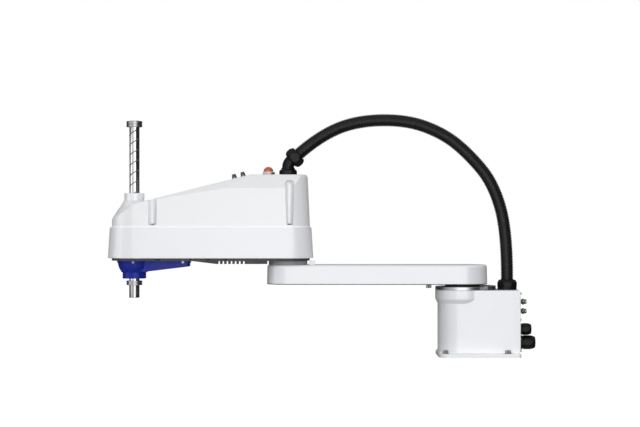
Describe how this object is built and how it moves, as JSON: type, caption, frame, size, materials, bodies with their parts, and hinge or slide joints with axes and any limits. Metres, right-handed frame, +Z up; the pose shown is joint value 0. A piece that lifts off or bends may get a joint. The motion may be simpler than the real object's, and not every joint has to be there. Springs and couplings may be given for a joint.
{
  "type": "scara robot",
  "caption": "Four-axis SCARA robot arm with a bolted base, two level links, a vertical splined screw shaft and an arching cable conduit.",
  "frame": {"origin": "first joint's axis at the underside of the base, where the base meets its mounting surface", "axes": "+Z up along the joint axes, +X to the rear where the cable panel is, the arm stretches towards -X at rest"},
  "size_m": [1.0398, 0.174, 0.6051],
  "materials": {
    "white_paint": "satin",
    "white_plastic": "fine satin",
    "blue_plastic": "semi-gloss",
    "bare_aluminium": "machined",
    "machined_steel": "turned",
    "ground_steel": "ground",
    "fastener_steel": "zinc plated",
    "plated_brass": "nickel plated",
    "black_nylon": "moulded",
    "black_conduit": "moulded corrugations",
    "black_rubber": "matte",
    "motor_black": "black paint",
    "lamp_orange": "translucent lens",
    "green_button": "moulded"
  },
  "bodies": {
    "base": {"base_casting": "white_paint", "base_mounting_bolts": "fastener_steel", "base_rear_panel": "white_paint", "rear_panel_screws": "fastener_steel", "rear_air_fittings": "plated_brass", "rear_upper_gland": "black_nylon", "rear_lower_gland": "black_nylon", "j1_bearing_outer_ring": "machined_steel", "j1_circular_spline": "machined_steel", "j1_motor_bracket": "bare_aluminium", "j1_motor": "motor_black", "j1_oil_seal": "black_rubber", "j1_stop_block": "machined_steel", "base_gland_body": "black_nylon", "base_gland_nut": "black_nylon", "conduit_lower": "black_conduit"},
    "arm1": {"arm1_casting": "white_paint", "j1_flexspline": "machined_steel", "j1_bearing_inner_ring": "machined_steel", "j1_output_bolts": "fastener_steel", "j1_stop_bolt": "fastener_steel", "j2_bearing_outer_ring": "machined_steel", "j2_stop_block": "white_paint", "j2_flexspline": "machined_steel"},
    "arm2": {"arm2_bottom_cover": "blue_plastic", "arm2_casting": "white_paint", "arm2_heat_sink": "bare_aluminium", "arm2_top_cover": "white_plastic", "arm2_under_plate": "bare_aluminium", "arm_air_fittings": "plated_brass", "ball_nut_housing": "bare_aluminium", "bottom_cover_screws": "fastener_steel", "conduit_upper": "black_conduit", "cover_screws": "fastener_steel", "elbow_base_nut": "black_nylon", "elbow_body": "black_nylon", "elbow_gland_nut": "black_nylon", "j2_bearing_inner_ring": "machined_steel", "j2_circular_spline": "machined_steel", "j2_motor": "motor_black", "j3_belt": "black_rubber", "j3_brake": "motor_black", "j3_motor": "motor_black", "j3_motor_bracket": "bare_aluminium", "j4_belt": "black_rubber", "j4_motor": "motor_black", "j4_motor_bracket": "bare_aluminium", "lamp_base": "white_plastic", "lamp_dome": "lamp_orange", "spline_nut_housing": "bare_aluminium"},
    "j1_drive_wave": {"j1_wave_generator": "machined_steel"},
    "j2_drive_wave": {"j2_wave_generator": "machined_steel"},
    "spline_nut": {"spline_nut_pulley": "bare_aluminium"},
    "shaft": {"ball_screw_shaft": "ground_steel", "upper_stop_ring": "machined_steel", "lower_stop_ring": "machined_steel"},
    "ball_nut": {"ball_nut_pulley": "bare_aluminium"},
    "j3_drive_pulley": {"j3_motor_pulley": "bare_aluminium"},
    "j4_drive_pulley": {"j4_motor_pulley": "bare_aluminium"},
    "brake_button": {"brake_release_button": "green_button"}
  },
  "joints": [
    {"name": "j1_rotation", "type": "hinge", "parent": "base", "child": "arm1", "pos_m": [0, 0, 0], "axis": [0, 0, 1], "range_deg": [-125, 125], "deforming": ["conduit_lower"]},
    {"name": "j2_rotation", "type": "hinge", "parent": "arm1", "child": "arm2", "pos_m": [-0.425, 0, 0], "axis": [0, 0, 1], "range_deg": [-150, 150], "deforming": ["conduit_upper"]},
    {"name": "j4_rotation", "type": "hinge", "parent": "arm2", "child": "spline_nut", "pos_m": [-0.8, 0, 0], "axis": [0, 0, 1], "range_deg": [-360, 360]},
    {"name": "j3_slide", "type": "slide", "parent": "spline_nut", "child": "shaft", "axis": [0, 0, 1], "range_m": [-0.2, 0]},
    {"name": "ball_nut_spin", "type": "hinge", "parent": "arm2", "child": "ball_nut", "pos_m": [-0.8, 0, 0], "axis": [0, 0, 1], "range_deg": [-1450, 10]},
    {"name": "j3_pulley_spin", "type": "hinge", "parent": "arm2", "child": "j3_drive_pulley", "pos_m": [-0.655, 0, 0], "axis": [0, 0, 1], "range_deg": [-3625, 10]},
    {"name": "j4_pulley_spin", "type": "hinge", "parent": "arm2", "child": "j4_drive_pulley", "pos_m": [-0.575, 0, 0], "axis": [0, 0, 1], "range_deg": [-1180, 1180]},
    {"name": "j1_wave_spin", "type": "hinge", "parent": "base", "child": "j1_drive_wave", "pos_m": [0, 0, 0], "axis": [0, 0, 1], "range_deg": [-6300, 6300]},
    {"name": "j2_wave_spin", "type": "hinge", "parent": "arm2", "child": "j2_drive_wave", "pos_m": [-0.425, 0, 0], "axis": [0, 0, 1], "range_deg": [-7550, 7550]},
    {"name": "brake_button_press", "type": "slide", "parent": "arm2", "child": "brake_button", "axis": [0, 0, 1], "range_m": [-0.002, 0], "stiffness_N_per_m": 800, "springref_m": 0.0002}
  ],
  "couplings": [
    {"joint": "ball_nut_spin", "follows": "j3_slide", "rad_per_m": 125.66},
    {"joint": "j3_pulley_spin", "follows": "j3_slide", "rad_per_m": 314.16},
    {"joint": "j4_pulley_spin", "follows": "j4_rotation", "ratio": 3.25},
    {"joint": "j1_wave_spin", "follows": "j1_rotation", "ratio": -50},
    {"joint": "j2_wave_spin", "follows": "j2_rotation", "ratio": 50}
  ]
}
